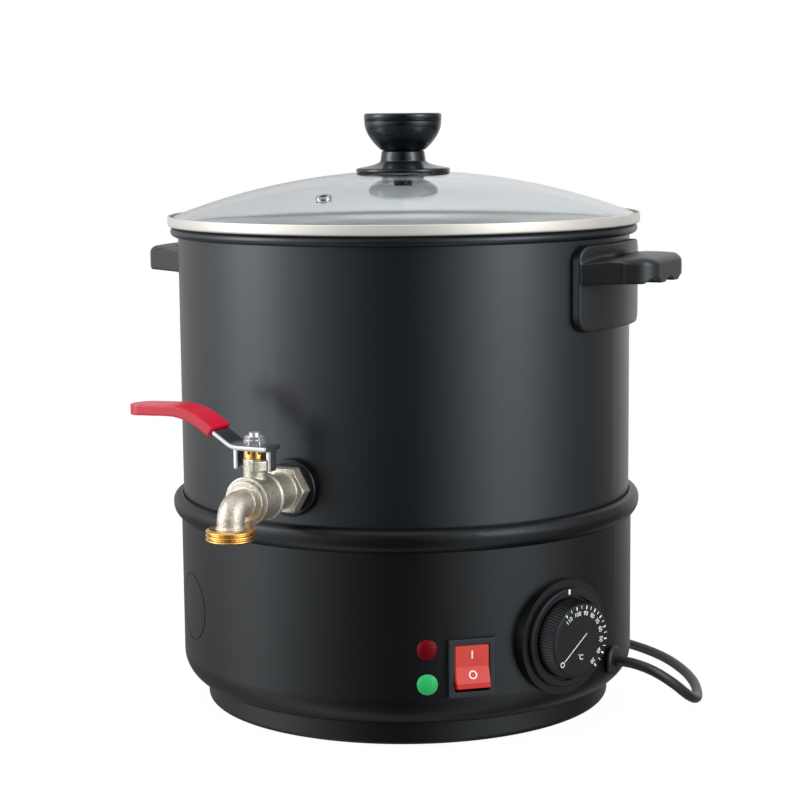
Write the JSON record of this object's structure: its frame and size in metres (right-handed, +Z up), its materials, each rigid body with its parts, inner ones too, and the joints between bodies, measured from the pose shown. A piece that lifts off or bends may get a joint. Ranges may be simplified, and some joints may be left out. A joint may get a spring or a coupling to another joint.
{
  "type": "wax melter",
  "caption": "Round electric melting pot on a moulded base, with a glass lid, side handles, a lever ball-valve spigot, a dial thermostat, a rocker switch and indicator lamps.",
  "frame": {"origin": "on the pot's axis, at the surface that the rubber feet stand on", "axes": "+Z up along the pot's axis, -Y out along the spigot, +X and -X out through the handles"},
  "size_m": [0.3434, 0.4603, 0.3487],
  "materials": {
    "base_plastic": "satin moulded black",
    "plate_plastic": "matte moulded black",
    "pot_coat": "satin black non-stick coating",
    "steel": "polished stainless steel",
    "zinc": "zinc-plated fasteners",
    "nickel": "blasted nickel plate on brass",
    "chrome": "polished",
    "brass": "turned brass",
    "aluminium": "cast",
    "rubber": "matte black",
    "red_rubber": "silicone rubber",
    "clear_rubber": "milky silicone rubber",
    "grip_vinyl": "dipped red vinyl",
    "gloss_black": "polished black",
    "dial_plastic": "fine satin black",
    "white_plastic": "printed white",
    "rocker_red": "clear red plastic",
    "lens_red": "clear dark red plastic, unlit",
    "lens_green": "clear green plastic, lit",
    "cream_plastic": "unpainted",
    "ptfe": "white",
    "glass": "tempered, clear",
    "element": "heat-stained steel tube",
    "copper": "copper",
    "cord_pvc": "satin black sheath"
  },
  "bodies": {
    "base": {"base_shell": "base_plastic", "base_plate": "plate_plastic", "rubber_feet": "rubber", "base_screws": "zinc", "pot_seat_ring": "red_rubber", "pot": "pot_coat", "heater_plate": "aluminium", "heating_element": "element", "heat_shield": "steel", "heater_studs": "zinc", "stud_nuts": "zinc", "thermal_cutout": "cream_plastic", "sensor_bulb": "copper", "terminal_block": "cream_plastic", "inner_wires": "cord_pvc", "thermostat_body": "cream_plastic", "thermostat_screws": "zinc", "dial_bezel": "base_plastic", "dial_index": "white_plastic", "switch_housing": "dial_plastic", "lamp_lens_red": "lens_red", "lamp_lens_green": "lens_green", "lamp_holders": "cream_plastic", "handle_right": "base_plastic", "handle_left": "base_plastic", "handle_screws": "zinc", "spigot_gasket": "rubber", "spigot_washer": "red_rubber", "lock_nut": "nickel", "valve_body": "nickel", "ball_seats": "ptfe", "stem_packing": "ptfe", "packing_nut": "brass", "elbow_spout": "nickel", "hose_thread": "brass", "cord_grommet": "rubber", "cord_clamp": "cream_plastic", "cord": "cord_pvc", "cord_coil": "cord_pvc", "cord_tie": "cord_pvc", "mains_plug": "cord_pvc", "plug_pins": "brass"},
    "lid": {"lid_glass": "glass", "lid_rim": "steel", "lid_seal": "rubber", "lid_knob": "gloss_black", "knob_cap": "gloss_black", "knob_foot": "gloss_black", "knob_washer": "clear_rubber", "knob_screw": "zinc", "vent_eyelet": "steel"},
    "dial": {"dial_knob": "dial_plastic", "thermostat_shaft": "brass"},
    "rocker_switch": {"rocker": "rocker_red"},
    "valve_lever": {"lever": "chrome", "lever_grip": "grip_vinyl", "lever_nut": "chrome", "valve_stem": "brass", "valve_ball": "chrome"}
  },
  "joints": [
    {"name": "lid_lift", "type": "slide", "parent": "base", "child": "lid", "axis": [0, 0, 1], "range_m": [0, 0.1]},
    {"name": "dial_turn", "type": "hinge", "parent": "base", "child": "dial", "pos_m": [0.13439, -0.05705, 0.0585], "axis": [0.9205, -0.3907, 0], "range_deg": [-35, 231]},
    {"name": "rocker_tilt", "type": "hinge", "parent": "base", "child": "rocker_switch", "pos_m": [0.08968, -0.09821, 0.048], "axis": [0.7385, 0.6743, 0], "range_deg": [0, 20]},
    {"name": "valve_turn", "type": "hinge", "parent": "base", "child": "valve_lever", "pos_m": [0, -0.173, 0.147], "axis": [0, 0, 1], "range_deg": [0, 90]}
  ]
}
